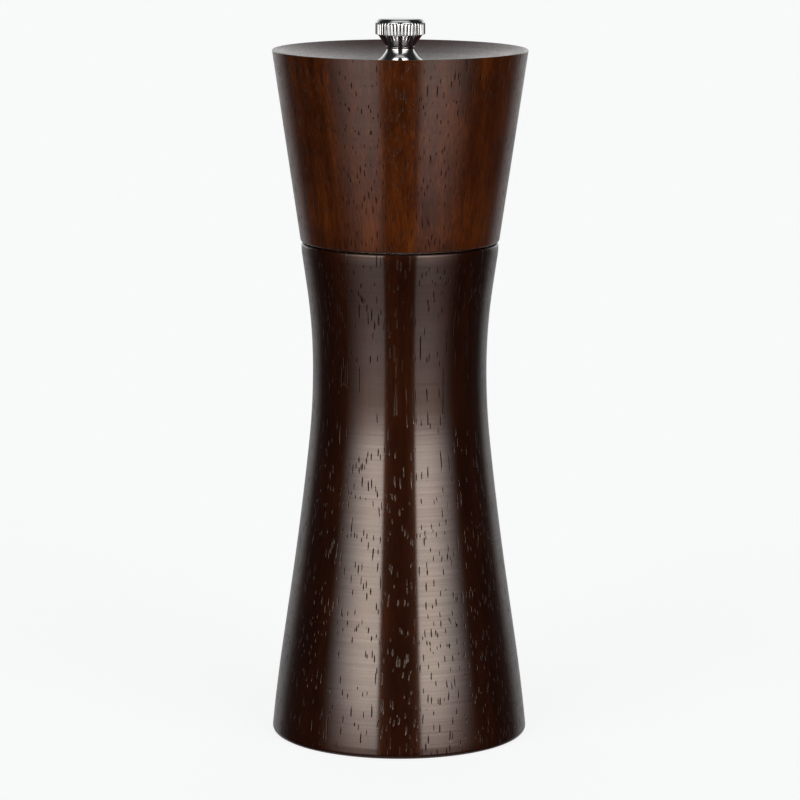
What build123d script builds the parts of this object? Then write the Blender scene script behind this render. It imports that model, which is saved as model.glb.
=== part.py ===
"""A turned wooden pepper mill, 200 mm tall, with an adjustable ceramic grinder.

The flared body and the trumpet head are turned from one blank. The head turns a square shaft, which turns
the ceramic rotor inside the stator held in the foot. The chrome knob screws on the shaft's threaded end:
tightening it draws the rotor up and grinds finer, and a spring pushes the rotor down again.
The frame is Z up, with its origin at the middle of the foot. All sizes are in millimetres.
"""

from build123d import *
from math import radians, tan
import os

# ---- driving dimensions ------------------------------------------------------------------------------
foot_radius = 35.7
waist_radius = 24.1
waist_height = 103.0
seam_height = 138.0  # top face of the body
seam_gap = 0.4  # the head rides this far above the body, on the glide ring
head_bottom = seam_height + seam_gap
head_bottom_radius = 27.4
rim_height = 191.2
rim_radius = 35.2
dish_bottom = 186.8  # middle of the head's dished top
overall_height = 200.0  # top of the knob

wall_lean = 8.3  # degrees from the vertical of the straight, flared walls
shoulder_curve = 160.0  # radius of the waist curve above the narrowest place
waist_curve = 200.0  # radius of the waist curve just below the narrowest place
skirt_lean = 6.0  # degrees that the waist curve turns before the slower skirt curve takes over
skirt_curve = 1020.0  # radius of the long curve between the waist and the straight skirt
skirt_straight_end = 25.0  # height where the straight skirt meets the foot's curve

chamber_radius = 14.0
tenon_radius = 17.0
tenon_length = 9.4
tenon_clearance = 0.3
tenon_bottom = head_bottom - tenon_length
plate_radius = 12.0
plate_thickness = 1.5
plate_top = tenon_bottom + 1.6

recess_radius = 26.5  # hollow under the grinder, where the ground pepper falls out
recess_depth = 9.4
core_radius = 17.4
core_bottom = 7.0
core_top = 41.0
flange_radius = 26.0
screw_circle = 22.6
screw_count = 3

bridge_bottom = 37.6
bush_radius = 5.0
stator_radius = 15.9
stator_bottom = 9.0
stator_top = 20.5
burr_teeth = 24
rotor_bottom = 8.3
rotor_top = 20.0
rotor_bottom_radius = 13.2
rotor_top_radius = 9.0
hub_radius = 6.0
carrier_top = 28.15

shaft_side = 5.0
shaft_corner = 0.4
shaft_bore = 3.33  # round holes that the square shaft turns in
thread_radius = 2.48
thread_start = 176.0
shaft_top = 196.6
running_gap = 0.05

seat_washer_top = 29.0
washer_radius = 5.6
washer_thickness = 0.6
spring_wire = 0.4
spring_radius = 4.3
spring_turns = 5

knob_bottom = 192.4
knob_radius = 6.85
knob_cone_radius = 6.1  # top of the cone under the knurled collar
knob_cone_lean = 34.0  # degrees from the vertical
collar_bottom = 195.45
collar_top = 198.1
collar_edge = 1.65  # rounding of the knob's top edge
knurl_teeth = 42
knurl_depth = 0.42
knurl_top = 198.6  # the grooves run out where the top edge starts to round
seat_top = 192.0
seat_neck_radius = 3.78
seat_neck_height = 191.6
seat_lean = 36.0  # degrees from the vertical of the straight stretch below the neck
seat_foot_radius = 7.9

os.makedirs("parts", exist_ok=True)


def rings(node, radius, height):
    """Finds a piece's circular edges of one radius at one height."""
    circles = node.edges().filter_by(GeomType.CIRCLE)
    return circles.filter_by(lambda e: abs(e.radius - radius) < 0.01 and abs(e.arc_center.Z - height) < 0.01)


def write(node, name):
    """Labels a finished piece and writes it to its own file."""
    node.part.label = name
    export_step(node.part, f"parts/{name}.step")


# ---- wooden body: flared foot, slim waist, bored right through ---------------------------------------
with BuildPart() as wooden_body:
    with BuildSketch(Plane.XZ):
        with BuildLine():
            waist = (waist_radius, waist_height)
            shoulder = JernArc(waist, (0, 1), shoulder_curve, -wall_lean)
            top_radius = (shoulder @ 1).X + (seam_height - (shoulder @ 1).Y) * tan(radians(wall_lean))
            Line(shoulder @ 1, (top_radius, seam_height))
            lower_waist = JernArc(waist, (0, -1), waist_curve, skirt_lean)
            skirt = JernArc(lower_waist @ 1, lower_waist % 1, skirt_curve, wall_lean - skirt_lean)
            straight_drop = (skirt @ 1).Y - skirt_straight_end
            straight_radius = (skirt @ 1).X + straight_drop * tan(radians(wall_lean))
            straight = Line(skirt @ 1, (straight_radius, skirt_straight_end))
            TangentArc(straight @ 1, (foot_radius, 0), tangent=straight % 1)
            Polyline(
                (foot_radius, 0),
                (recess_radius, 0),
                (recess_radius, recess_depth),
                (core_radius + 0.1, recess_depth),
                (core_radius + 0.1, core_top),
                (chamber_radius, core_top),
                (chamber_radius, tenon_bottom - 1.0),
                (tenon_radius + tenon_clearance, tenon_bottom - 1.0),
                (tenon_radius + tenon_clearance, seam_height),
                (top_radius, seam_height),
            )
        make_face()
    revolve(axis=Axis.Z)
    fillet(rings(wooden_body, foot_radius, 0), 1.5)
    fillet(rings(wooden_body, recess_radius, 0), 0.8)
    fillet(rings(wooden_body, top_radius, seam_height), 0.5)
    chamfer(rings(wooden_body, tenon_radius + tenon_clearance, seam_height), 0.6)
    # shallow groove for the glide ring
    with BuildSketch(Plane.XY.offset(seam_height)):
        Circle(24.0)
        Circle(19.5, mode=Mode.SUBTRACT)
    extrude(amount=-0.6, mode=Mode.SUBTRACT)
    # pilot holes for the grinder's screws
    with BuildSketch(Plane.XY.offset(recess_depth)):
        with PolarLocations(screw_circle, screw_count, start_angle=90):
            Circle(1.2)
    extrude(amount=8.0, mode=Mode.SUBTRACT)
write(wooden_body, "wooden_body")

# ---- wooden head: straight trumpet with a dished top and a tenon that turns in the body --------------
with BuildPart() as wooden_head:
    with BuildSketch(Plane.XZ):
        with BuildLine():
            rim_edge = (rim_radius - 0.5, rim_height)
            dish = TangentArc((seat_foot_radius + 0.1, dish_bottom), rim_edge, tangent=(1, 0.06))
            Polyline(
                dish @ 0,
                (4.0, dish_bottom),
                (4.0, plate_top),
                (plate_radius + 0.1, plate_top),
                (plate_radius + 0.1, tenon_bottom),
                (tenon_radius, tenon_bottom),
                (tenon_radius, head_bottom),
                (head_bottom_radius, head_bottom),
                (rim_radius, rim_height),
                rim_edge,
            )
        make_face()
    revolve(axis=Axis.Z)
    fillet(rings(wooden_head, rim_radius, rim_height), 0.22)
    fillet(rings(wooden_head, rim_radius - 0.5, rim_height), 0.22)
    fillet(rings(wooden_head, head_bottom_radius, head_bottom), 0.6)
    chamfer(rings(wooden_head, tenon_radius, tenon_bottom), 0.6)
    # pilot holes for the drive plate's screws
    with BuildSketch(Plane.XY.offset(plate_top)):
        with PolarLocations(8.5, 2):
            Circle(1.0)
    extrude(amount=7.0, mode=Mode.SUBTRACT)
write(wooden_head, "wooden_head")

# ---- adjusting knob: knurled collar on a cone, with a blind threaded hole ----------------------------
with BuildPart() as adjusting_knob:
    with BuildSketch(Plane.XZ):
        with BuildLine():
            top_edge = (knob_radius - collar_edge, collar_top + collar_edge)
            dome_rise = overall_height - top_edge[1]
            dome_curve = (top_edge[0] ** 2 + dome_rise**2) / (2 * dome_rise)
            cone_height = collar_bottom - 0.25
            cone_foot = knob_cone_radius - (cone_height - knob_bottom) * tan(radians(knob_cone_lean))
            RadiusArc(top_edge, (0, overall_height), -dome_curve)
            RadiusArc((knob_radius, collar_top), top_edge, -collar_edge)
            Polyline(
                (knob_radius, collar_top),
                (knob_radius, collar_bottom),
                (knob_cone_radius, cone_height),
                (cone_foot, knob_bottom),
                (0, knob_bottom),
                (0, overall_height),
            )
        make_face()
    revolve(axis=Axis.Z)
    with BuildSketch(Plane.XY.offset(knob_bottom)):
        Circle(thread_radius + 0.08)
    extrude(amount=5.8, mode=Mode.SUBTRACT)
    # straight knurl: one V groove per tooth, up to the rounded top edge
    with BuildSketch(Plane.XY.offset(collar_bottom - 0.4)):
        with PolarLocations(knob_radius - knurl_depth, knurl_teeth):
            Polygon((0, 0), (0.6, 0.54), (0.6, -0.54), align=None)
    extrude(amount=knurl_top - collar_bottom + 0.4, mode=Mode.SUBTRACT)
write(adjusting_knob, "adjusting_knob")

# ---- knob washer: thin nylon ring that rides under the knob ------------------------------------------
with BuildPart() as knob_washer:
    with BuildSketch(Plane.XY.offset(seat_top + running_gap)):
        Circle(3.75)
        Circle(2.8, mode=Mode.SUBTRACT)
    extrude(amount=knob_bottom - seat_top - running_gap)
write(knob_washer, "knob_washer")

# ---- knob seat: trumpet-shaped ferrule under the knob, with a spigot in the head's hole --------------
with BuildPart() as knob_seat:
    with BuildSketch(Plane.XZ):
        with BuildLine():
            neck = JernArc((seat_neck_radius, seat_neck_height), (0, -1), 2.0, seat_lean)
            slope = PolarLine(neck @ 1, 1.0, direction=neck % 1)
            flare = JernArc(slope @ 1, slope % 1, 4.5, 78 - seat_lean)
            Polyline(
                flare @ 1,
                (seat_foot_radius, 187.6),
                (seat_foot_radius, dish_bottom),
                (4.0, dish_bottom),
                (4.0, dish_bottom - 6.0),
                (2.8, dish_bottom - 6.0),
                (2.8, seat_top),
                (seat_neck_radius + 0.1, seat_top),
                neck @ 0,
            )
        make_face()
    revolve(axis=Axis.Z)
write(knob_seat, "knob_seat")

# ---- glide ring: nylon washer between body and head --------------------------------------------------
with BuildPart() as glide_ring:
    with BuildSketch(Plane.XY.offset(seam_height - 0.6 + running_gap)):
        Circle(23.8)
        Circle(19.7, mode=Mode.SUBTRACT)
    extrude(amount=0.6 + seam_gap - 2 * running_gap)
write(glide_ring, "glide_ring")

# ---- drive plate: steel disc with a square hole that turns the shaft ---------------------------------
plate_bottom = plate_top - plate_thickness
with BuildPart() as drive_plate:
    with BuildSketch(Plane.XY.offset(plate_bottom)):
        Circle(plate_radius)
        Rectangle(shaft_side + 0.2, shaft_side + 0.2, mode=Mode.SUBTRACT)
    extrude(amount=plate_thickness)
    with BuildSketch(Plane.XY.offset(plate_bottom)):
        with PolarLocations(8.5, 2):
            Circle(2.1)
    extrude(amount=1.05, taper=45, mode=Mode.SUBTRACT)
    with BuildSketch(Plane.XY.offset(plate_bottom)):
        with PolarLocations(8.5, 2):
            Circle(1.05)
    extrude(amount=plate_thickness, mode=Mode.SUBTRACT)
write(drive_plate, "drive_plate")

with BuildPart() as drive_plate_screws:
    with BuildSketch(Plane.XY.offset(plate_bottom)):
        with PolarLocations(8.5, 2):
            Circle(2.0)
    extrude(amount=1.0, taper=45)
    with BuildSketch(Plane.XY.offset(plate_bottom + 0.9)):
        with PolarLocations(8.5, 2):
            Circle(1.0)
    extrude(amount=7.0)
    chamfer(drive_plate_screws.edges().group_by(Axis.Z)[-1], 0.7)
    with BuildSketch(Plane.XY.offset(plate_bottom)):
        with PolarLocations(8.5, 2):
            Rectangle(2.4, 0.5)
            Rectangle(0.5, 2.4)
    extrude(amount=0.7, mode=Mode.SUBTRACT)
write(drive_plate_screws, "drive_plate_screws")

# ---- shaft: square rod with a round threaded end on top and a tapped hole below ----------------------
with BuildPart() as shaft:
    with BuildSketch(Plane.XY.offset(rotor_bottom)):
        square = Rectangle(shaft_side, shaft_side)
        chamfer(square.vertices(), shaft_corner)
    extrude(amount=thread_start - rotor_bottom)
    with BuildSketch(Plane.XY.offset(thread_start)):
        Circle(thread_radius)
    extrude(amount=shaft_top - thread_start)
    chamfer(shaft.edges().group_by(Axis.Z)[-1], 0.4)
    with BuildSketch(Plane.XY.offset(rotor_bottom)):
        Circle(1.5)
    extrude(amount=9.0, mode=Mode.SUBTRACT)
write(shaft, "shaft")

# ---- core housing: flanged tube that holds the grinder, with a bridge across its top -----------------
with BuildPart() as core_housing:
    with BuildSketch(Plane.XZ):
        with BuildLine():
            Polyline(
                (stator_radius, core_bottom),
                (flange_radius, core_bottom),
                (flange_radius, recess_depth),
                (core_radius, recess_depth),
                (core_radius, core_top),
                (15.4, core_top),
                (15.4, 23.0),
                (14.6, stator_top),
                (stator_radius, stator_top),
                close=True,
            )
        make_face()
    revolve(axis=Axis.Z)
    with BuildSketch(Plane.XY.offset(bridge_bottom)):
        Rectangle(32.0, 6.0)
        Circle(bush_radius + 1.8)
        Circle(bush_radius, mode=Mode.SUBTRACT)
    extrude(amount=core_top - bridge_bottom)
    with BuildSketch(Plane.XY.offset(core_bottom)):
        with PolarLocations(screw_circle, screw_count, start_angle=90):
            Circle(1.3)
    extrude(amount=recess_depth - core_bottom, mode=Mode.SUBTRACT)
write(core_housing, "core_housing")

with BuildPart() as core_screws:
    with BuildSketch(Plane.XY.offset(core_bottom)):
        with PolarLocations(screw_circle, screw_count, start_angle=90):
            Circle(2.3)
    extrude(amount=-1.4)
    chamfer(core_screws.edges().group_by(Axis.Z)[0], 0.5)
    with BuildSketch(Plane.XY.offset(core_bottom)):
        with PolarLocations(screw_circle, screw_count, start_angle=90):
            Circle(1.2)
    extrude(amount=10.0)
    chamfer(core_screws.edges().group_by(Axis.Z)[-1], 0.9)
    with BuildSketch(Plane.XY.offset(core_bottom - 1.4)):
        with PolarLocations(screw_circle, screw_count, start_angle=90):
            Rectangle(2.4, 0.5)
            Rectangle(0.5, 2.4)
    extrude(amount=0.8, mode=Mode.SUBTRACT)
write(core_screws, "core_screws")

# ---- shaft bush: flanged nylon sleeve in the bridge --------------------------------------------------
with BuildPart() as shaft_bush:
    with BuildSketch(Plane.XY.offset(bridge_bottom)):
        Circle(bush_radius)
    extrude(amount=core_top - bridge_bottom)
    with BuildSketch(Plane.XY.offset(core_top)):
        Circle(6.2)
    extrude(amount=0.8)
    chamfer(shaft_bush.edges().group_by(Axis.Z)[-1], 0.3)
    with BuildSketch(Plane.XY.offset(bridge_bottom)):
        Circle(shaft_bore)
    extrude(amount=core_top + 0.8 - bridge_bottom, mode=Mode.SUBTRACT)
write(shaft_bush, "shaft_bush")

# ---- stator: toothed ceramic ring, held up in the housing by a lock ring -----------------------------
with BuildPart() as stator_burr:
    with BuildSketch(Plane.XZ):
        with BuildLine():
            Polyline(
                (13.6, stator_bottom),
                (stator_radius, stator_bottom),
                (stator_radius, stator_top),
                (13.4, stator_top),
                (12.35, 12.6),
                close=True,
            )
        make_face()
    revolve(axis=Axis.Z)
    with BuildSketch(Plane.XY.offset(stator_bottom)):
        with PolarLocations(12.0, burr_teeth):
            Polygon((0, 0.9), (2.1, 0), (0, -0.9), align=None)
    extrude(amount=stator_top - stator_bottom, mode=Mode.SUBTRACT)
write(stator_burr, "stator_burr")

with BuildPart() as stator_lock_ring:
    with BuildSketch(Plane.XY.offset(core_bottom)):
        Circle(stator_radius)
        Circle(14.3, mode=Mode.SUBTRACT)
    extrude(amount=stator_bottom - core_bottom)
    # four notches for the spanner that seats the ring
    with BuildSketch(Plane.XY.offset(core_bottom)):
        with PolarLocations(14.5, 4):
            Rectangle(1.6, 3.0)
    extrude(amount=1.0, mode=Mode.SUBTRACT)
write(stator_lock_ring, "stator_lock_ring")

# ---- rotor: toothed ceramic cone on a moulded carrier with feed vanes --------------------------------
with BuildPart() as rotor_burr:
    with BuildSketch(Plane.XZ):
        with BuildLine():
            Polyline(
                (hub_radius, rotor_bottom),
                (rotor_bottom_radius, rotor_bottom),
                (rotor_top_radius, rotor_top),
                (hub_radius, rotor_top),
                close=True,
            )
        make_face()
    revolve(axis=Axis.Z)
    # one slanting groove per tooth, deeper towards the top
    with BuildSketch(Plane.XY.offset(rotor_bottom)) as low_grooves:
        with PolarLocations(rotor_bottom_radius, burr_teeth):
            Polygon((-0.9, 0), (0.6, 1.1), (0.6, -1.1), align=None)
    with BuildSketch(Plane.XY.offset(rotor_top)) as high_grooves:
        with PolarLocations(rotor_top_radius, burr_teeth, start_angle=9):
            Polygon((-1.4, 0), (0.6, 1.0), (0.6, -1.0), align=None)
    for low, high in zip(low_grooves.sketch.faces(), high_grooves.sketch.faces()):
        loft([low, high], mode=Mode.SUBTRACT)
write(rotor_burr, "rotor_burr")

with BuildPart() as rotor_carrier:
    with BuildSketch(Plane.XY.offset(rotor_bottom)):
        Circle(hub_radius)
    extrude(amount=carrier_top - rotor_bottom)
    with BuildSketch(Plane.XY.offset(rotor_top)):
        Circle(rotor_top_radius - 0.4)
    extrude(amount=3.0, taper=38)
    # three feed vanes that drag the peppercorns into the burrs
    with BuildSketch(Plane.XY.offset(rotor_top)):
        with PolarLocations(5.4, 3):
            Rectangle(6.4, 2.0)
    extrude(amount=6.0)
    with BuildSketch(Plane.XY.offset(rotor_bottom)):
        Rectangle(shaft_side + 2 * running_gap, shaft_side + 2 * running_gap)
    extrude(amount=carrier_top - rotor_bottom, mode=Mode.SUBTRACT)
write(rotor_carrier, "rotor_carrier")

with BuildPart() as rotor_washer:
    with BuildSketch(Plane.XY.offset(rotor_bottom - 0.8)):
        Circle(7.6)
        Circle(1.6, mode=Mode.SUBTRACT)
    extrude(amount=0.8)
write(rotor_washer, "rotor_washer")

with BuildPart() as rotor_screw:
    with BuildSketch(Plane.XY.offset(rotor_bottom - 0.8)):
        Circle(2.8)
    extrude(amount=-1.9)
    chamfer(rotor_screw.edges().group_by(Axis.Z)[0], 0.7)
    with BuildSketch(Plane.XY.offset(rotor_bottom - 0.8)):
        Circle(1.5)
    extrude(amount=8.0)
    with BuildSketch(Plane.XY.offset(rotor_bottom - 2.7)):
        Rectangle(3.2, 0.7)
        Rectangle(0.7, 3.2)
    extrude(amount=1.1, mode=Mode.SUBTRACT)
write(rotor_screw, "rotor_screw")

# ---- spring between two steel washers: it pushes the rotor down, away from the stator ----------------
with BuildPart() as spring_seat_washer:
    with BuildSketch(Plane.XY.offset(carrier_top + running_gap)):
        Circle(washer_radius)
        Circle(3.7, mode=Mode.SUBTRACT)
    extrude(amount=seat_washer_top - carrier_top - running_gap)
write(spring_seat_washer, "spring_seat_washer")

with BuildPart() as spring_top_washer:
    with BuildSketch(Plane.XY.offset(bridge_bottom - washer_thickness)):
        Circle(washer_radius)
        Circle(3.7, mode=Mode.SUBTRACT)
    extrude(amount=washer_thickness)
write(spring_top_washer, "spring_top_washer")

with BuildPart() as spring:
    coil_low = seat_washer_top + spring_wire + 0.05
    coil_height = bridge_bottom - washer_thickness - spring_wire - 0.05 - coil_low
    with BuildLine(Plane.XY.offset(coil_low)):
        coil = Helix(pitch=coil_height / spring_turns, height=coil_height, radius=spring_radius)
    with BuildSketch(Plane(coil @ 0, z_dir=coil % 0)):
        Circle(spring_wire)
    sweep(path=coil)
write(spring, "spring")
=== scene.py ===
from math import asin, atan, cos, degrees, pi, radians, sin, sqrt, tan

import bmesh
import bpy
from mathutils import Matrix, Vector


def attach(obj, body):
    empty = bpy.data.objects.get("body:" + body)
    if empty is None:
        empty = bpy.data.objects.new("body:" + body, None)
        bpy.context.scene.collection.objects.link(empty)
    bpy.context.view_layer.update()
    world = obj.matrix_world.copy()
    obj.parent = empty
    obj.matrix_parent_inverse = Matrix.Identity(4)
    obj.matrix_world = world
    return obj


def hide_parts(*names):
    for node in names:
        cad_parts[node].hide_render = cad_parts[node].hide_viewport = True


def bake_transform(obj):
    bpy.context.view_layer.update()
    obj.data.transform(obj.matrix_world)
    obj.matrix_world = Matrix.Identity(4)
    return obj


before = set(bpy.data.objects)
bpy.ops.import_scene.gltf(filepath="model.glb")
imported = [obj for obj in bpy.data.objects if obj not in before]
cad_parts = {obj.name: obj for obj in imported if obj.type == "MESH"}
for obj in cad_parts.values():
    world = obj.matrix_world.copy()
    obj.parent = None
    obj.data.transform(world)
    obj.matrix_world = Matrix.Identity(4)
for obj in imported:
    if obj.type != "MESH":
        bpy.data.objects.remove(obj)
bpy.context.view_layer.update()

mm = 0.001

# ---- Studio: camera ------------------------------------------------------------------------------
# A long lens a metre in front of the mill and a little above it, looking slightly down, so that the
# near edge of the dish just covers the foot of the knob's seat.
camera_place = (0.0, -1.0898, 0.2804)
look_down = radians(9.72)
roll = radians(0.1)
camera_data = bpy.data.cameras.new("camera")
camera_data.sensor_width = 36.0
camera_data.lens = 178.9
camera_data.clip_end = 50.0
camera_data.shift_x = 0.0004
camera = bpy.data.objects.new("camera", camera_data)
bpy.context.scene.collection.objects.link(camera)
camera.location = camera_place
aim = Matrix.Rotation(pi / 2 - look_down, 3, "X") @ Matrix.Rotation(roll, 3, "Z")
camera.rotation_euler = aim.to_euler()
bpy.context.scene.camera = camera

# ---- Studio: floor -------------------------------------------------------------------------------
# A plain, pale, matt sweep. It is left out of mirror reflections, as a lit table is in a product
# shot, and its light on the mill comes from the sky below the horizon instead.
floor_half_width = 12.0
floor_paint = bpy.data.materials.new("floor_paint")
floor_paint.use_nodes = True
floor_nodes = floor_paint.node_tree
floor_shader = floor_nodes.nodes["Principled BSDF"]
floor_shader.inputs["Base Color"].default_value = (0.25, 0.268, 0.285, 1)
floor_shader.inputs["Emission Color"].default_value = (1, 1, 1, 1)
floor_shader.inputs["Emission Strength"].default_value = 0.85
floor_shader.inputs["Roughness"].default_value = 1.0
floor_shader.inputs["Specular IOR Level"].default_value = 0.0
# seen from below it is clear, so that the mill's underside can be looked at
clear = floor_nodes.nodes.new("ShaderNodeBsdfTransparent")
one_sided = floor_nodes.nodes.new("ShaderNodeMixShader")
geometry = floor_nodes.nodes.new("ShaderNodeNewGeometry")
floor_output = floor_nodes.nodes["Material Output"]
floor_nodes.links.new(geometry.outputs["Backfacing"], one_sided.inputs[0])
floor_nodes.links.new(floor_shader.outputs[0], one_sided.inputs[1])
floor_nodes.links.new(clear.outputs[0], one_sided.inputs[2])
floor_nodes.links.new(one_sided.outputs[0], floor_output.inputs["Surface"])
floor_mesh = bpy.data.meshes.new("floor")
shape = bmesh.new()
bmesh.ops.create_grid(shape, x_segments=1, y_segments=1, size=floor_half_width)
shape.to_mesh(floor_mesh)
shape.free()
floor = bpy.data.objects.new("floor", floor_mesh)
floor_mesh.materials.append(floor_paint)
bpy.context.scene.collection.objects.link(floor)
floor.visible_glossy = False
floor.visible_diffuse = False

# ---- Studio: light -------------------------------------------------------------------------------
# Two softboxes, left and right of the camera, a lit wall behind the mill, a soft light overhead and
# the light that the table throws back. They are far away, so they are painted on the sky by compass
# direction and height, both in degrees.
softbox_strength = 8.4
softbox_core, softbox_spill = 0.83, 0.17
wall_strength, wall_foot_strength = 0.3, 0.66
overhead_strength = 0.6
table_strength = 0.3
room_strength = 0.02
backdrop_strength = 0.93
world = bpy.data.worlds.new("studio")
world.use_nodes = True
bpy.context.scene.world = world
sky = world.node_tree
sky.nodes.clear()


def sky_node(kind, **settings):
    """Adds a node to the sky with these properties set."""
    node = sky.nodes.new(kind)
    for key, value in settings.items():
        setattr(node, key, value)
    return node


def sky_math(operation, *values):
    """A maths node in the sky, fed by sockets or plain numbers."""
    node = sky_node("ShaderNodeMath", operation=operation)
    for index, value in enumerate(values):
        if isinstance(value, (int, float)):
            node.inputs[index].default_value = value
        else:
            sky.links.new(value, node.inputs[index])
    return node.outputs[0]


def sky_band(value, low, high, soft_low, soft_high):
    """1 between low and high, falling smoothly to 0 over soft_low below and soft_high above."""
    rise = sky_node("ShaderNodeMapRange", interpolation_type="SMOOTHSTEP")
    fall = sky_node("ShaderNodeMapRange", interpolation_type="SMOOTHSTEP")
    for node, a, b, start, end in (
        (rise, low - soft_low, low, 0, 1),
        (fall, high, high + soft_high, 1, 0),
    ):
        sky.links.new(value, node.inputs["Value"])
        node.inputs["From Min"].default_value = a
        node.inputs["From Max"].default_value = b
        node.inputs["To Min"].default_value = start
        node.inputs["To Max"].default_value = end
    return sky_math("MULTIPLY", rise.outputs[0], fall.outputs[0])


parts = sky_node("ShaderNodeSeparateXYZ")
sky.links.new(sky_node("ShaderNodeTexCoord").outputs["Generated"], parts.inputs[0])
# compass direction, 0 straight in front of the mill and 180 straight behind it
sideways = sky_math("ABSOLUTE", parts.outputs["X"])
forward = sky_math("MULTIPLY", parts.outputs["Y"], -1.0)
compass = sky_math("MULTIPLY", sky_math("ARCTAN2", sideways, forward), degrees(1))
height = sky_math("MULTIPLY", sky_math("ARCSINE", parts.outputs["Z"]), degrees(1))

# the softboxes are brightest in a low band and on the side nearer the camera, and spill a little
# light above and below it
core = sky_band(height, 2.6, 4.6, soft_low=9, soft_high=4)
spill = sky_band(height, -12, 50, soft_low=28, soft_high=12)
softbox_height = sky_math(
    "ADD", sky_math("MULTIPLY", core, softbox_core), sky_math("MULTIPLY", spill, softbox_spill)
)
softbox_width = sky_band(compass, 21.5, 30, soft_low=3.5, soft_high=48)
softbox = sky_math("MULTIPLY", softbox_width, softbox_height)
# the wall is brightest just above the table's edge
wall = sky_band(height, -60, 6, soft_low=5, soft_high=40)
wall_foot = sky_band(height, 0, 6, soft_low=9, soft_high=30)
wall_height = sky_math(
    "ADD",
    sky_math("MULTIPLY", wall, wall_strength),
    sky_math("MULTIPLY", wall_foot, wall_foot_strength),
)
wall_width = sky_band(compass, 146, 200, soft_low=22, soft_high=10)
back_wall = sky_math("MULTIPLY", wall_width, wall_height)
overhead = sky_band(height, 70, 95, soft_low=8, soft_high=5)
table = sky_band(height, -95, -60, soft_low=5, soft_high=16)
light = sky_math("MULTIPLY", softbox, softbox_strength)
light = sky_math("ADD", light, back_wall)
light = sky_math("ADD", light, sky_math("MULTIPLY", overhead, overhead_strength))
light = sky_math("ADD", light, sky_math("MULTIPLY", table, table_strength))
light = sky_math("ADD", light, room_strength)
# the camera itself sees an even, pale backdrop
camera_ray = sky_node("ShaderNodeLightPath").outputs["Is Camera Ray"]
strength = sky_node("ShaderNodeMix", data_type="FLOAT")
sky.links.new(camera_ray, strength.inputs["Factor"])
sky.links.new(light, strength.inputs["A"])
strength.inputs["B"].default_value = backdrop_strength
# the softboxes' lamps are a little warm
warmth = sky_node("ShaderNodeMix", data_type="RGBA")
lamp = sky_math("MULTIPLY", softbox, sky_math("SUBTRACT", 1.0, camera_ray))
sky.links.new(lamp, warmth.inputs[0])
warmth.inputs[6].default_value = (1, 1, 1, 1)
warmth.inputs[7].default_value = (1.06, 0.93, 0.82, 1)
background = sky_node("ShaderNodeBackground")
sky.links.new(warmth.outputs[2], background.inputs["Color"])
sky.links.new(strength.outputs["Result"], background.inputs["Strength"])
sky.links.new(background.outputs[0], sky_node("ShaderNodeOutputWorld").inputs["Surface"])
bpy.context.scene.view_settings.view_transform = "Standard"
bpy.context.scene.cycles.use_denoising = True

# ---- Wooden body ---------------------------------------------------------------------------------
# The lower part of the mill, turned on a lathe from one dark-stained, open-pored blank, bored
# through for the peppercorns, sanded across the grain and lacquered satin.


def turn(name, start, path, body, steps=256, round_corners=()):
    """Turns a closed outline about Z. path has ("line", r, z) and ("arc", centre r, centre z,
    degrees, steps) moves, in millimetres; an arc turns counter-clockwise when its degrees are
    positive. round_corners has (r, z, radius) for corners that are rounded before turning."""
    shape = bmesh.new()
    first = shape.verts.new((start[0] * mm, 0, start[1] * mm))
    last = first
    for move in path:
        if move[0] == "line":
            new = shape.verts.new((move[1] * mm, 0, move[2] * mm))
            shape.edges.new((last, new))
            last = new
        else:
            _, r, z, turn_by, count = move
            done = bmesh.ops.spin(
                shape, geom=[last], cent=(r * mm, 0, z * mm), axis=(0, -1, 0),
                angle=radians(turn_by), steps=count,
            )
            last = [v for v in done["geom_last"] if isinstance(v, bmesh.types.BMVert)][0]
    shape.edges.new((last, first))
    bmesh.ops.remove_doubles(shape, verts=shape.verts[:], dist=1e-6)
    for r, z, radius in round_corners:
        place = Vector((r * mm, 0, z * mm))
        corner = min(shape.verts, key=lambda v: (v.co - place).length)
        bmesh.ops.bevel(
            shape, geom=[corner], offset=radius * mm, offset_type="OFFSET", segments=5,
            profile=0.5, affect="VERTICES", material=-1,
        )
    bmesh.ops.spin(
        shape, geom=shape.edges[:] + shape.verts[:], cent=(0, 0, 0), axis=(0, 0, 1),
        angle=2 * pi, steps=steps, use_merge=True,
    )
    bmesh.ops.remove_doubles(shape, verts=shape.verts[:], dist=1e-7)
    # a line that lies on the axis leaves edges without faces
    loose = [e for e in shape.edges if not e.link_faces]
    bmesh.ops.delete(shape, geom=loose, context="EDGES")
    bmesh.ops.recalc_face_normals(shape, faces=shape.faces[:])
    shade(shape, 32)
    return placed(name, shape, body)


def shade(shape, sharp):
    """Smooth faces, with every edge of more than sharp degrees left crisp."""
    for face in shape.faces:
        face.smooth = True
    for edge in shape.edges:
        if len(edge.link_faces) == 2 and edge.calc_face_angle() > radians(sharp):
            edge.smooth = False


def placed(name, shape, body=None):
    """The finished mesh as a piece of the scene, riding on a body if one is given."""
    mesh = bpy.data.meshes.new(name)
    shape.to_mesh(mesh)
    shape.free()
    piece = bpy.data.objects.new(name, mesh)
    bpy.context.scene.collection.objects.link(piece)
    if body:
        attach(piece, body)
    return piece


def material_nodes(name):
    """A new material, its node tree and its shader."""
    material = bpy.data.materials.new(name)
    material.use_nodes = True
    return material, material.node_tree, material.node_tree.nodes["Principled BSDF"]


def make(tree, kind, inputs=None, **settings):
    """Adds a node; inputs are plain values or sockets by name or number."""
    node = tree.nodes.new(kind)
    for key, value in settings.items():
        setattr(node, key, value)
    for key, value in (inputs or {}).items():
        socket = node.inputs[key]
        if isinstance(value, bpy.types.NodeSocket):
            tree.links.new(value, socket)
        else:
            socket.default_value = value
    return node


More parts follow.
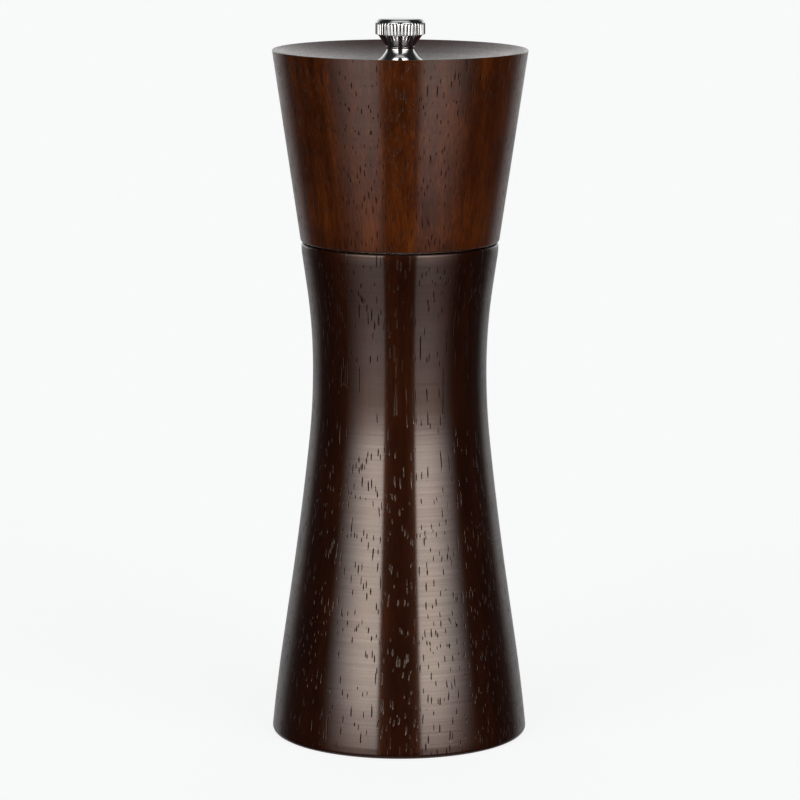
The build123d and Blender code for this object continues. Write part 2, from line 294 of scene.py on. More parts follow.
def calc(tree, operation, *values):
    """A maths node's result."""
    inputs = {i: v for i, v in enumerate(values)}
    return make(tree, "ShaderNodeMath", inputs, operation=operation).outputs[0]


def vector(tree, operation, first, second):
    """A vector maths node's result."""
    inputs = {0: first, 1: second}
    return make(tree, "ShaderNodeVectorMath", inputs, operation=operation).outputs[0]


def ease(tree, value, low, high, start=0.0, end=1.0):
    """A smooth step of value between low and high."""
    inputs = {"Value": value, "From Min": low, "From Max": high, "To Min": start, "To Max": end}
    return make(tree, "ShaderNodeMapRange", inputs, interpolation_type="SMOOTHSTEP").outputs[0]


def flip(tree, value):
    """1 minus value."""
    return calc(tree, "SUBTRACT", 1.0, value)


def noise(tree, at, scale, detail, rough=0.5):
    """A noise texture."""
    inputs = {"Vector": at, "Scale": scale, "Detail": detail, "Roughness": rough}
    return make(tree, "ShaderNodeTexNoise", inputs)


def blend(tree, factor, first, second):
    """The first colour where factor is 0 and the second where it is 1."""
    inputs = {0: factor, 6: first, 7: second}
    return make(tree, "ShaderNodeMix", inputs, data_type="RGBA").outputs[2]


def millimetres(tree, shift=(0, 0, 0)):
    """The texture's place in millimetres, from the Object coordinates."""
    place = make(tree, "ShaderNodeTexCoord").outputs["Object"]
    inputs = {"Vector": place, "Scale": (1 / mm, 1 / mm, 1 / mm), "Location": shift}
    return make(tree, "ShaderNodeMapping", inputs).outputs[0]


def wander(tree, at, scale, detail, reach):
    """A sideways shift of up to half of reach, from noise."""
    shift = noise(tree, at, scale, detail).outputs["Color"]
    shift = vector(tree, "SUBTRACT", shift, (0.5, 0.5, 0.5))
    return vector(tree, "MULTIPLY", shift, (reach, reach, 0))


def relief(tree, height, *sockets):
    """Bumps of this height in millimetres, fed to these sockets."""
    bump = make(tree, "ShaderNodeBump", {"Height": height, "Distance": mm, "Strength": 1.0})
    for socket in sockets:
        tree.links.new(bump.outputs[0], socket)


def wood(
    name, dark, middle, light, shift, lacquered, gloss,
    pore_colour=(0.003, 0.0012, 0.0008), more_pores=0.0,
):
    """Open-pored hardwood with its grain along Z, bare or under satin lacquer of this roughness.
    The three colours are those of its streaks, and shift picks another place in the timber."""
    material, tree, shader = material_nodes(name)
    at = millimetres(tree, shift)
    # faces across the trunk show end grain, which drinks in more stain and lacquer
    normal = make(tree, "ShaderNodeTexCoord").outputs["Normal"]
    upright = make(tree, "ShaderNodeSeparateXYZ", {0: normal}).outputs["Z"]
    end_grain = ease(tree, calc(tree, "ABSOLUTE", upright), 0.75, 0.95)
    # the grain wanders a little as it climbs
    slow = vector(tree, "MULTIPLY", at, (0.35, 0.35, 1.0))
    grain = vector(tree, "ADD", at, wander(tree, slow, 0.022, 1.0, 3.2))
    grain = vector(tree, "ADD", grain, wander(tree, slow, 0.19, 0.0, 0.6))
    # vessels: long tubes, 0.2 to 0.4 mm across, that the surface cuts open
    cells = make(
        tree, "ShaderNodeTexVoronoi", {"Vector": grain, "Scale": 1.08},
        voronoi_dimensions="2D", feature="F1",
    )
    chance = make(tree, "ShaderNodeSeparateColor", {"Color": cells.outputs["Color"]})
    climb = make(tree, "ShaderNodeSeparateXYZ", {0: at}).outputs["Z"]
    # each has a line of its own through the noise, far from its neighbours'
    run = {
        "X": calc(tree, "MULTIPLY", chance.outputs[0], 91.0),
        "Y": calc(tree, "MULTIPLY", chance.outputs[1], 73.0),
        "Z": calc(tree, "MULTIPLY", climb, 0.13),
    }
    present = noise(tree, make(tree, "ShaderNodeCombineXYZ", run).outputs[0], 1.0, 0.0).outputs[0]
    # they come in clusters
    crowd = calc(tree, "SUBTRACT", noise(tree, slow, 0.13, 1.0).outputs[0], 0.5)
    present = calc(tree, "ADD", present, calc(tree, "MULTIPLY", crowd, 0.9))
    present = ease(tree, present, 0.43 - more_pores, 0.47 - more_pores)
    spread = {"Value": chance.outputs[2], "To Min": 0.11, "To Max": 0.2}
    girth = calc(tree, "MULTIPLY", make(tree, "ShaderNodeMapRange", spread).outputs[0], present)
    never_zero = calc(tree, "ADD", girth, 0.001)
    across = calc(tree, "DIVIDE", cells.outputs["Distance"], never_zero)
    pore = flip(tree, ease(tree, across, 0.6, 1.05))
    groove = flip(tree, ease(tree, across, 0.1, 1.2))
    hollow = flip(tree, ease(tree, across, 0.5, 0.95))
    # fibre streaks and slow changes of tone
    fibre_at = vector(tree, "MULTIPLY", grain, (1.0, 1.0, 0.035))
    fine = noise(tree, fibre_at, 2.4, 3.0, 0.6).outputs[0]
    broad = noise(tree, fibre_at, 0.28, 3.0, 0.55).outputs[0]
    cloud = noise(tree, slow, 0.05, 2.0).outputs[0]
    tone = calc(tree, "MULTIPLY", broad, 0.45)
    for streak, share in ((fine, 0.4), (cloud, 0.25)):
        tone = calc(tree, "ADD", tone, calc(tree, "MULTIPLY", streak, share))
    ramp = make(tree, "ShaderNodeValToRGB", {"Fac": tone})
    stops = ramp.color_ramp.elements
    stops[0].position, stops[1].position = 0.38, 0.72
    stops[0].color, stops[1].color = (*dark, 1), (*light, 1)
    stops.new(0.54).color = (*middle, 1)
    # stain gathers in the end grain and in the open pores
    soaked = calc(tree, "MULTIPLY", end_grain, 0.45)
    stained = blend(tree, soaked, ramp.outputs[0], (*dark, 1))
    filled = calc(tree, "MULTIPLY", pore, 0.95)
    stained = blend(tree, filled, stained, (*pore_colour, 1))
    tree.links.new(stained, shader.inputs["Base Color"])
    # sanding rings left by the lathe
    ring_at = vector(tree, "MULTIPLY", at, (0.03, 0.03, 1.7))
    rings = noise(tree, ring_at, 1.0, 3.0, 0.65).outputs[0]
    height = calc(tree, "MULTIPLY", groove, -0.06)
    for mark, depth in ((rings, 0.004), (fine, 0.0012)):
        height = calc(tree, "ADD", height, calc(tree, "MULTIPLY", mark, depth))
    relief(tree, height, shader.inputs["Normal"], shader.inputs["Coat Normal"])
    rough = calc(tree, "ADD", calc(tree, "MULTIPLY", rings, 0.12), 0.27)
    rough = calc(tree, "ADD", rough, calc(tree, "MULTIPLY", pore, 0.25))
    tree.links.new(rough, shader.inputs["Roughness"])
    shader.inputs["Coat Roughness"].default_value = gloss
    shader.inputs["Coat IOR"].default_value = 1.5
    if lacquered:
        # the wood glows brown under the lacquer, which is thinner on the sanding rings and the
        # end grain and does not fill the pores
        shader.inputs["Specular IOR Level"].default_value = 0.22
        shader.inputs["Specular Tint"].default_value = (1.0, 0.44, 0.22, 1)
        sanded = calc(tree, "MULTIPLY", calc(tree, "SUBTRACT", rings, 0.35), 0.8)
        film = flip(tree, sanded)
        for bare, loss in ((hollow, 0.96), (end_grain, 0.38)):
            film = calc(tree, "MULTIPLY", film, flip(tree, calc(tree, "MULTIPLY", bare, loss)))
        tree.links.new(film, shader.inputs["Coat Weight"])
    return material


def leave_raw(piece, is_raw):
    """Gives the unlacquered second material to the faces that is_raw(radius, z) picks out."""
    for face in piece.data.polygons:
        radius = Vector(face.center[:2]).length
        if is_raw(radius / mm, face.center.z / mm):
            face.material_index = 1


body_wood = wood(
    "dark_stained_wood",
    (0.0093, 0.0016, 0.0006), (0.0205, 0.0036, 0.0009), (0.040, 0.0084, 0.0018),
    shift=(0, 0, 0), lacquered=True, gloss=0.1,
)
raw_wood = wood(
    "unfinished_wood",
    (0.30, 0.17, 0.085), (0.40, 0.25, 0.13), (0.48, 0.32, 0.18),
    shift=(0, 0, 0), lacquered=False, gloss=0.5, pore_colour=(0.12, 0.06, 0.03),
)
# the outline from the waist: a curve up to the straight shoulder, and two curves down to the
# straight skirt; shoulder and skirt lean out by the same flare
waist_radius, waist_height = 24.1, 103.0
body_top = 138.0
foot_radius = 35.7
flare = radians(8.3)
upper_curve = 160.0
lower_curve = 200.0
lower_turn = radians(6)
skirt_curve = 1020.0
foot_start = 25.0
top_radius = waist_radius + upper_curve * (1 - cos(flare))
top_start = waist_height + upper_curve * sin(flare)
seam_radius = top_radius + (body_top - top_start) * tan(flare)
low_radius = waist_radius + lower_curve * (1 - cos(lower_turn))
low_height = waist_height - lower_curve * sin(lower_turn)
skirt_radius = low_radius + skirt_curve * (cos(lower_turn) - cos(flare))
skirt_height = low_height - skirt_curve * (sin(flare) - sin(lower_turn))
straight_radius = skirt_radius + (skirt_height - foot_start) * tan(flare)
# the foot's curve meets the straight skirt without a corner and ends at the foot's radius
foot_flare = foot_radius - straight_radius
chord = sqrt(foot_flare**2 + foot_start**2)
half_turn = flare - atan(foot_flare / foot_start)
foot_curve = chord / (2 * sin(half_turn))
foot_centre = (straight_radius - foot_curve * cos(flare), foot_start - foot_curve * sin(flare))
# just under the seam the shoulder rounds in again, so the seam's edge catches the light
lip_curve = 14.0
lip_turn_in = radians(4.5)
lip_height = lip_curve * (sin(flare) + sin(lip_turn_in))
lip_start = (seam_radius - lip_height * tan(flare), body_top - lip_height)
lip_centre = (lip_start[0] - lip_curve * cos(flare), lip_start[1] + lip_curve * sin(flare))
lip_radius = lip_start[0] + lip_curve * (cos(lip_turn_in) - cos(flare))
# the hollows: a recess and a seat for the grinder below, the bore, a seat for the head's tenon and
# a groove for the glide ring
recess_radius, recess_top = 26.5, 9.4
core_radius, core_top = 17.5, 41.0
bore_radius = 14.0
socket_radius, socket_floor = 17.3, 128.0
groove_inner, groove_outer, groove_floor = 19.5, 24.0, 137.4
body = turn(
    "turned_body",
    (recess_radius, 0.0),
    [
        ("line", foot_radius, 0.0),
        ("arc", foot_centre[0], foot_centre[1], degrees(2 * half_turn), 8),
        ("line", skirt_radius, skirt_height),
        (
            "arc",
            low_radius + skirt_curve * cos(lower_turn),
            low_height + skirt_curve * sin(lower_turn),
            -degrees(flare - lower_turn),
            12,
        ),
        ("arc", waist_radius + lower_curve, waist_height, -degrees(lower_turn), 12),
        ("arc", waist_radius + upper_curve, waist_height, -degrees(flare), 14),
        ("line", lip_start[0], lip_start[1]),
        ("arc", lip_centre[0], lip_centre[1], degrees(flare + lip_turn_in), 6),
        ("line", groove_outer, body_top),
        ("line", groove_outer, groove_floor),
        ("line", groove_inner, groove_floor),
        ("line", groove_inner, body_top),
        ("line", socket_radius, body_top),
        ("line", socket_radius, socket_floor),
        ("line", bore_radius, socket_floor),
        ("line", bore_radius, core_top),
        ("line", core_radius, core_top),
        ("line", core_radius, recess_top),
        ("line", recess_radius, recess_top),
    ],
    "body",
    round_corners=[
        (recess_radius, 0, 0.8),
        (foot_radius, 0, 1.5),
        (lip_radius, body_top, 0.4),
        (socket_radius, body_top, 0.5),
    ],
)
body.data.materials.append(body_wood)
body.data.materials.append(raw_wood)
# the bore for the peppercorns and the seat of the tenon are left raw
leave_raw(body, lambda r, z: r < socket_radius + 0.1 and core_top + 0.5 < z < body_top - 0.5)
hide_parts("wooden_body")

# ---- Wooden head ---------------------------------------------------------------------------------
# The grip that turns the grinder: a straight trumpet from the same timber with a lighter stain, a
# dished top, a rounded rim and a tenon that turns in the body.
head_wood = wood(
    "brown_stained_wood",
    (0.0185, 0.0036, 0.0007), (0.068, 0.0138, 0.0017), (0.150, 0.0360, 0.0042),
    shift=(311, 57, 0), lacquered=True, gloss=0.16,
    pore_colour=(0.0012, 0.0008, 0.0006), more_pores=0.045,
)
head_bottom = 138.4
head_low_radius = 27.4
rim_radius, rim_height = 35.2, 191.2
tenon_radius, tenon_end = 17.0, 129.0
plate_seat_radius, plate_seat_depth = 12.1, 130.6
shaft_hole = 4.0
# the dish starts flat under the knob's seat and climbs more and more steeply to the rim
dish_start = Vector((8.0, 186.8))
dish_end = Vector((34.7, rim_height))
span = dish_end - dish_start
dish_slope = atan(0.06)
dish_half = atan(span.y / span.x) - dish_slope
dish_curve = span.length / (2 * sin(dish_half))
dish_centre = dish_start + dish_curve * Vector((-sin(dish_slope), cos(dish_slope)))
head = turn(
    "turned_head",
    (shaft_hole, dish_start.y),
    [
        ("line", shaft_hole, plate_seat_depth),
        ("line", plate_seat_radius, plate_seat_depth),
        ("line", plate_seat_radius, tenon_end),
        ("line", tenon_radius, tenon_end),
        ("line", tenon_radius, head_bottom),
        ("line", head_low_radius, head_bottom),
        ("line", (head_low_radius + rim_radius) / 2, (head_bottom + rim_height) / 2),
        ("line", rim_radius, rim_height),
        ("line", dish_end.x, rim_height),
        ("arc", dish_centre.x, dish_centre.y, -degrees(2 * dish_half), 16),
    ],
    "head",
    round_corners=[
        (head_low_radius, head_bottom, 0.6),
        (rim_radius, rim_height, 0.24),
        (dish_end.x, rim_height, 0.24),
        (tenon_radius, tenon_end, 0.5),
    ],
)
head.data.materials.append(head_wood)
head.data.materials.append(raw_wood)
# the tenon and the hole for the shaft are left raw
leave_raw(
    head,
    lambda r, z: z < head_bottom - 0.1 or (r < shaft_hole + 0.1 and z < dish_start.y - 0.1),
)
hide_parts("wooden_head")

# ---- Adjusting knob ------------------------------------------------------------------------------
# A small knurled nut, turned from brass bar and chrome plated; a straight knurl runs out through
# its rounded top edge.
plate_colour = (0.78, 0.79, 0.8, 1)


def chrome(name):
    """Polished chrome plate with faint polishing smears."""
    material, tree, shader = material_nodes(name)
    at = millimetres(tree)
    smear = noise(tree, at, 0.9, 3.0).outputs[0]
    rough = calc(tree, "ADD", calc(tree, "MULTIPLY", smear, 0.06), 0.05)
    tree.links.new(rough, shader.inputs["Roughness"])
    shader.inputs["Base Color"].default_value = plate_colour
    shader.inputs["Metallic"].default_value = 1.0
    return material, tree, shader, at


knob_radius = 6.85
knob_foot = 192.4
knob_bore = 2.56
thread_end = 198.2
cone_radius, cone_top = 6.1, 195.2
cone_foot = cone_radius - (cone_top - knob_foot) * tan(radians(34))
knurl_low, knurl_high = 195.45, 198.1
knurl_depth = 0.42
knurl_teeth = 42
rim_inner, rim_low, rim_high = 6.2, 195.1, 198.5
edge_start = 5.2
knob_top, dome_rise = 200.0, 0.25
dome_curve = (edge_start**2 + dome_rise**2) / (2 * dome_rise)
dome_turn = degrees(asin(edge_start / dome_curve))
knob_chrome, tree, shader, at = chrome("plated_knob_chrome")
# painted shade: the plate colour is darkened almost to black at the bottom of the knurl's valleys,
# from just inside their floor to a third of the way up the teeth, less towards the knurl's foot,
# and not where they run out over the rounded edge
climb = make(tree, "ShaderNodeSeparateXYZ", {0: at}).outputs["Z"]
flat = vector(tree, "MULTIPLY", at, (1, 1, 0))
reach = make(tree, "ShaderNodeVectorMath", {0: flat}, operation="LENGTH").outputs["Value"]
knurl_valley_shade = flip(tree, ease(tree, reach, 6.56, 6.7))
knurl_valley_shade = calc(tree, "MULTIPLY", knurl_valley_shade, ease(tree, reach, 6.3, 6.4))
knurl_valley_shade = calc(tree, "MULTIPLY", knurl_valley_shade, ease(tree, climb, 196.2, 196.9, 0.6, 1.0))
knurl_valley_shade = calc(tree, "MULTIPLY", knurl_valley_shade, flip(tree, ease(tree, climb, 198.0, 198.3)))
# painted shade between the teeth: the valleys' plate colour is blended almost to black
painted_shade_strength = calc(tree, "MULTIPLY", knurl_valley_shade, 0.97)
plate_with_painted_shade = blend(tree, painted_shade_strength, plate_colour, (0.012, 0.012, 0.012, 1))
tree.links.new(plate_with_painted_shade, shader.inputs["Base Color"])
knob = turn(
    "knurled_knob",
    (knob_bore, knob_foot),
    [
        ("line", cone_foot, knob_foot),
        ("line", cone_radius, cone_top),
        ("line", knob_radius, knurl_low),
        # heights between, so that the knurl can be cut into the side
        ("line", knob_radius, 196.3),
        ("line", knob_radius, 197.2),
        ("line", knob_radius, knurl_high),
        ("arc", edge_start, knurl_high, 90, 10),
        ("arc", 0.0, knob_top - dome_curve, dome_turn, 8),
        ("line", 0.0, thread_end),
        ("line", knob_bore, thread_end),
    ],
    "knob",
    steps=knurl_teeth * 10,
    round_corners=[(cone_foot, knob_foot, 0.12), (knob_radius, knurl_low, 0.1)],
)
for vertex in knob.data.vertices:
    x, y, z = vertex.co / mm
    reach = sqrt(x * x + y * y)
    # the cone under the rim and the dome above it stay round
    if reach > rim_inner and rim_low < z < rim_high:
        # a rounded crest between two sharp valleys
        angle = Vector((x, y)).angle_signed(Vector((1, 0)))
        tooth = (angle / (2 * pi) * knurl_teeth) % 1.0
        crest = knob_radius - knurl_depth * (1.0 - 2.0 * abs(tooth - 0.5)) ** 1.7
        if reach > crest:
            vertex.co.x *= crest / reach
            vertex.co.y *= crest / reach
knob.data.set_sharp_from_angle(angle=radians(42))
knob.data.materials.append(knob_chrome)
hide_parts("adjusting_knob")

# ---- Knob washer ---------------------------------------------------------------------------------
# A thin ring of black nylon in the joint under the knob. It keeps the two chromed faces from
# rubbing on each other when the knob is turned.


def moulded(name, colour, rough, speckle):
    """Moulded plastic with a fine spark-eroded texture; speckle is its spread of brightness."""
    material, tree, shader = material_nodes(name)
    at = millimetres(tree)
    grit = noise(tree, at, 7.0, 3.0, 0.6).outputs[0]
    cloud = noise(tree, at, 0.25, 2.0).outputs[0]
    darker = (*[c * (1 - speckle) for c in colour], 1)
    lighter = (*[min(1.0, c * (1 + speckle)) for c in colour], 1)
    tree.links.new(blend(tree, cloud, darker, lighter), shader.inputs["Base Color"])
    dry = calc(tree, "ADD", calc(tree, "MULTIPLY", grit, 0.25), rough - 0.12)
    tree.links.new(dry, shader.inputs["Roughness"])
    relief(tree, calc(tree, "MULTIPLY", grit, 0.012), shader.inputs["Normal"])
    return material


black_nylon = moulded("black_moulded_nylon", (0.012, 0.012, 0.013), 0.5, 0.2)
washer_inner, washer_outer, washer_foot = 2.8, 3.75, 192.05
washer = turn(
    "nylon_knob_washer",
    (washer_inner, washer_foot),
    [
        ("line", washer_outer, washer_foot),
        ("line", washer_outer, knob_foot),
        ("line", washer_inner, knob_foot),
    ],
    "knob",
    steps=96,
    round_corners=[(washer_outer, washer_foot, 0.06), (washer_outer, knob_foot, 0.06)],
)
washer.data.materials.append(black_nylon)
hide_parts("knob_washer")

# ---- Knob seat -----------------------------------------------------------------------------------
# A trumpet-shaped ferrule, turned and chrome plated, pressed into the head's hole; the knob bears
# on it.
seat_chrome = chrome("plated_seat_chrome")[0]
seat_bore = 2.8
sleeve_radius, sleeve_end = 4.0, 180.8
brim_radius, brim_low, brim_high = 7.9, 186.8, 187.6
seat_top, neck_height = 192.0, 191.6
neck_radius, neck_curve = 3.78, 2.0
# the trumpet: a small curve under the neck, a short slope and a wider curve out to the brim
lean = radians(36)
brim_lean = radians(78)
brim_curve = 4.5
neck_low = (neck_radius + neck_curve * (1 - cos(lean)), neck_height - neck_curve * sin(lean))
slope_low = (neck_low[0] + sin(lean), neck_low[1] - cos(lean))
seat = turn(
    "trumpet_seat",
    (seat_bore, seat_top),
    [
        ("line", seat_bore, sleeve_end),
        ("line", sleeve_radius, sleeve_end),
        ("line", sleeve_radius, brim_low),
        ("line", brim_radius, brim_low),
        ("line", brim_radius, brim_high),
        (
            "line",
            slope_low[0] + brim_curve * (cos(lean) - cos(brim_lean)),
            slope_low[1] - brim_curve * (sin(brim_lean) - sin(lean)),
        ),
        (
            "arc",
            slope_low[0] + brim_curve * cos(lean),
            slope_low[1] + brim_curve * sin(lean),
            -degrees(brim_lean - lean),
            14,
        ),
        ("line", neck_low[0], neck_low[1]),
        ("arc", neck_radius + neck_curve, neck_height, -degrees(lean), 10),
        ("line", neck_radius + 0.1, seat_top),
    ],
    "head",
    steps=192,
    round_corners=[(brim_radius, brim_high, 0.2), (neck_radius + 0.1, seat_top, 0.08)],
)
seat.data.materials.append(seat_chrome)
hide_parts("knob_seat")

# ---- Glide ring ----------------------------------------------------------------------------------
# A flat washer of pale nylon that lies in a groove in the body's top face, so that the head turns
# on plastic and not on wood.
pale_nylon = moulded("pale_moulded_nylon", (0.72, 0.69, 0.62), 0.42, 0.05)
ring_inner, ring_outer, ring_low, ring_high = 19.7, 23.8, 137.45, 138.35
ring = turn(
    "nylon_glide_ring",
    (ring_inner, ring_low),
    [
        ("line", ring_outer, ring_low),
        ("line", ring_outer, ring_high),
        ("line", ring_inner, ring_high),
    ],
    "glide_ring",
    round_corners=[
        (ring_inner, ring_low, 0.1),
        (ring_outer, ring_low, 0.1),
        (ring_outer, ring_high, 0.2),
        (ring_inner, ring_high, 0.2),
    ],
)
ring.data.materials.append(pale_nylon)
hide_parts("glide_ring")

# ---- Drive plate ---------------------------------------------------------------------------------
# A stamped steel disc, let into the end of the head's tenon and screwed there. Its square hole
# turns the shaft, and slides up off it when the head is lifted.


def cut_off(shape, cut, side):
    """Cuts off what lies above the height cut (side 1) or below it (side -1), and closes it."""
    done = bmesh.ops.bisect_plane(
        shape, geom=shape.verts[:] + shape.edges[:] + shape.faces[:],
        plane_co=(0, 0, cut * mm), plane_no=(0, 0, side), clear_outer=True,
    )
    rim = [e for e in done["geom_cut"] if isinstance(e, bmesh.types.BMEdge)]
    bmesh.ops.holes_fill(shape, edges=rim, sides=0)


def finished(name, solid, body, edge, top=None):
    """Copies a solid of the frame, joins its loose triangles into clean faces and breaks its sharp
    edges by edge millimetres. What lies above top is cut off."""
    shape = bmesh.new()
    shape.from_mesh(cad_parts[solid].data)
    bmesh.ops.remove_doubles(shape, verts=shape.verts[:], dist=2e-6)
    if top is not None:
        cut_off(shape, top, 1)
    bmesh.ops.dissolve_limit(
        shape, angle_limit=radians(1.0), verts=shape.verts[:], edges=shape.edges[:],
        use_dissolve_boundaries=False,
    )
    sharp = [e for e in shape.edges if len(e.link_faces) == 2 and e.calc_face_angle() > radians(30)]
    bmesh.ops.bevel(
        shape, geom=sharp, offset=edge * mm, offset_type="OFFSET", segments=2, profile=0.5,
        affect="EDGES", clamp_overlap=True, material=-1,
    )
    bmesh.ops.remove_doubles(shape, verts=shape.verts[:], dist=1e-7)
    shade(shape, 38)
    piece = placed(name, shape, body)
    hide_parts(solid)
    return piece


def metal(name, colour, rough, stretch, marks, lines=0.0015):
    """Bare or plated metal; stretch gives the direction of its finishing lines, lines their depth
    in millimetres and marks their spread of gloss."""
    material, tree, shader = material_nodes(name)
    at = millimetres(tree)
    drawn = noise(tree, vector(tree, "MULTIPLY", at, stretch), 5.0, 4.0, 0.65).outputs[0]
    stain = noise(tree, at, 0.5, 3.0).outputs[0]
    darker = (*[c * 0.82 for c in colour], 1)
    lighter = (*[min(1.0, c * 1.1) for c in colour], 1)
    tree.links.new(blend(tree, stain, darker, lighter), shader.inputs["Base Color"])
    gloss = calc(tree, "ADD", calc(tree, "MULTIPLY", drawn, marks), rough - 0.5 * marks)
    gloss = calc(tree, "ADD", gloss, calc(tree, "MULTIPLY", stain, 0.08))
    tree.links.new(gloss, shader.inputs["Roughness"])
    relief(tree, calc(tree, "MULTIPLY", drawn, lines), shader.inputs["Normal"])
    shader.inputs["Metallic"].default_value = 1.0
    return material


plate_steel = metal("stamped_plate_steel", (0.52, 0.52, 0.51), 0.34, (0.05, 1, 1), 0.2, 0.003)
plate = finished("steel_drive_plate", "drive_plate", "head", 0.12)
plate.data.materials.append(plate_steel)

# ---- Drive plate screws --------------------------------------------------------------------------
# Two small countersunk cross-head wood screws of zinc-plated steel, driven up into the end grain of
# the tenon. They hold the drive plate.
screw_steel = metal("zinc_plated_steel", (0.66, 0.68, 0.70), 0.26, (1, 1, 1), 0.16)
plate_screws = finished("countersunk_screws", "drive_plate_screws", "head", 0.05)
plate_screws.data.materials.append(screw_steel)

# ---- Shaft ---------------------------------------------------------------------------------------
# A square aluminium rod from the rotor to the knob. Its corners are broken, its lower end is tapped
# and its top end is turned down and cut with a thread for the knob.
shaft_aluminium = metal("drawn_aluminium", (0.74, 0.75, 0.76), 0.3, (1, 1, 0.03), 0.2, 0.003)
square_top = 175.9
thread_bottom, thread_top, chamfer_start = 175.7, 196.6, 196.0
thread_pitch = 0.8
thread_steps = 48
crest_radius, root_radius = 2.47, 2.02
# one pitch of the thread: its flat crest and its flat root, by radius and rise
tooth_outline = ((crest_radius, 0.0), (crest_radius, 0.1), (root_radius, 0.36), (root_radius, 0.54))
shaft = finished("square_shaft", "shaft", "rotor", 0.08, top=square_top)
thread = bmesh.new()
coil_start = thread_bottom - 2 * thread_pitch
flanks = []
for coil_number in range(int((thread_top - coil_start) / thread_pitch) + 3):
    for radius, rise in tooth_outline:
        z = coil_start + coil_number * thread_pitch + rise
        flanks.append(thread.verts.new((radius * mm, 0, z * mm)))
for low, high in zip(flanks, flanks[1:]):
    thread.edges.new((low, high))
# one full turn climbs one pitch, so the sweep's end meets its start one thread further up
bmesh.ops.spin(
    thread, geom=thread.verts[:] + thread.edges[:], cent=(0, 0, 0), axis=(0, 0, 1),
    angle=2 * pi, steps=thread_steps, dvec=(0, 0, thread_pitch * mm / thread_steps),
)
bmesh.ops.remove_doubles(thread, verts=thread.verts[:], dist=1e-6)
cut_off(thread, thread_top, 1)
cut_off(thread, thread_bottom, -1)
# the end of the thread is chamfered
for vertex in thread.verts:
    reach = Vector(vertex.co[:2]).length
    most = crest_radius * mm - max(0.0, vertex.co.z - chamfer_start * mm) * 0.8
    if reach > most:
        vertex.co.x *= most / reach
        vertex.co.y *= most / reach
bmesh.ops.recalc_face_normals(thread, faces=thread.faces[:])
for face in thread.faces:
    face.smooth = False
thread.from_mesh(shaft.data)
thread.to_mesh(shaft.data)
thread.free()
shaft.data.materials.append(shaft_aluminium)

# ---- Core housing --------------------------------------------------------------------------------
# The grinder's housing: a flanged tube moulded in black glass-filled nylon, with a bridge across
# its top that carries the shaft.
housing_plastic = moulded("glass_filled_nylon", (0.016, 0.016, 0.017), 0.5, 0.25)
housing = finished("flanged_housing", "core_housing", "body", 0.2)
housing.data.materials.append(housing_plastic)

# ---- Core screws ---------------------------------------------------------------------------------
# Three pan-head wood screws of zinc-plated steel, driven up through the housing's flange into the
# body. They hold the whole grinder.
flange_screws = finished("flange_screws", "core_screws", "body", 0.06)
flange_screws.data.materials.append(screw_steel)

# ---- Shaft bush ----------------------------------------------------------------------------------
# A flanged sleeve, moulded in pale nylon and pressed into the hole in the housing's bridge. The
# shaft turns and slides in it.
bush = finished("nylon_shaft_bush", "shaft_bush", "body", 0.1)
bush.data.materials.append(pale_nylon)

# ---- Stator --------------------------------------------------------------------------------------
# The fixed half of the grinder: a ring of pressed and fired ceramic with straight teeth inside,
# pushed up into the housing from below.


def fired_ceramic(name):
    """Dense off-white ceramic with a dry, faintly grainy surface."""
    material, tree, shader = material_nodes(name)
    at = millimetres(tree)
    grain = noise(tree, at, 6.0, 4.0, 0.7).outputs[0]
    cloud = noise(tree, at, 0.3, 2.0).outputs[0]
    fleck = ease(tree, noise(tree, at, 2.6, 1.0).outputs[0], 0.68, 0.74)
    mottled = blend(tree, cloud, (0.70, 0.66, 0.58, 1), (0.80, 0.77, 0.70, 1))
    faint = calc(tree, "MULTIPLY", fleck, 0.35)
    flecked = blend(tree, faint, mottled, (0.45, 0.40, 0.33, 1))
    tree.links.new(flecked, shader.inputs["Base Color"])
    rough = calc(tree, "ADD", calc(tree, "MULTIPLY", grain, 0.3), 0.35)
    tree.links.new(rough, shader.inputs["Roughness"])
    relief(tree, calc(tree, "MULTIPLY", grain, 0.01), shader.inputs["Normal"])
    return material


burr_ceramic = fired_ceramic("fired_burr_ceramic")
stator = finished("ceramic_stator", "stator_burr", "body", 0.08)
stator.data.materials.append(burr_ceramic)

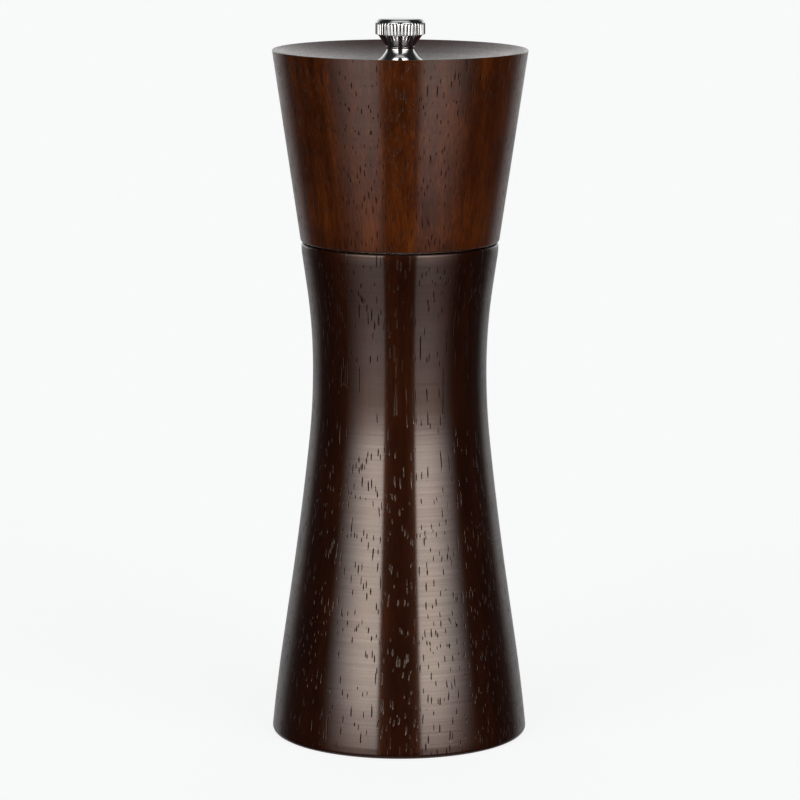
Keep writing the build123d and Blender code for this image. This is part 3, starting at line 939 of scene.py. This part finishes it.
# ---- Stator lock ring ----------------------------------------------------------------------------
# A ring moulded in the housing's black plastic and pressed in under the stator to hold it. A
# spanner fits its four notches.
lock_ring = finished("notched_lock_ring", "stator_lock_ring", "body", 0.12)
lock_ring.data.materials.append(housing_plastic)

# ---- Rotor burr ----------------------------------------------------------------------------------
# The turning half of the grinder: a ceramic cone with slanting teeth, moulded round the carrier's
# hub.
rotor = finished("ceramic_rotor", "rotor_burr", "rotor", 0.08)
rotor.data.materials.append(burr_ceramic)

# ---- Rotor carrier -------------------------------------------------------------------------------
# The rotor's core, moulded in black nylon, with a square hole for the shaft and three vanes that
# feed the peppercorns down into the teeth.
carrier_plastic = moulded("moulded_carrier_nylon", (0.02, 0.02, 0.021), 0.45, 0.2)
carrier = finished("vaned_carrier", "rotor_carrier", "rotor", 0.12)
carrier.data.materials.append(carrier_plastic)

# ---- Rotor washer and screw ----------------------------------------------------------------------
# A washer and a pan-head machine screw of zinc-plated steel. The screw goes up into the shaft's
# tapped end, and the two hold the rotor on the shaft.
for name, solid in (("plated_washer", "rotor_washer"), ("pan_head_screw", "rotor_screw")):
    fixing = finished(name, solid, "rotor", 0.1)
    fixing.data.materials.append(screw_steel)

# ---- Spring washers ------------------------------------------------------------------------------
# Two thin washers of zinc-plated steel, one at each end of the spring: the lower one rests on the
# carrier, the upper one lies under the bridge.
for name, solid, where_to in (
    ("lower_spring_washer", "spring_seat_washer", "spring_seat"),
    ("upper_spring_washer", "spring_top_washer", "body"),
):
    fixing = finished(name, solid, where_to, 0.08)
    fixing.data.materials.append(screw_steel)

# ---- Spring --------------------------------------------------------------------------------------
# A coil of spring wire between the two washers. It pushes the rotor down, away from the stator.
spring_steel = metal("bright_spring_wire", (0.42, 0.42, 0.43), 0.28, (1, 1, 1), 0.15)
coil = bmesh.new()
coil.from_mesh(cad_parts["spring"].data)
bmesh.ops.remove_doubles(coil, verts=coil.verts[:], dist=1e-6)
shade(coil, 50)
spring = placed("grind_spring", coil)
spring.data.materials.append(spring_steel)
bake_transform(spring)
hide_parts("spring")
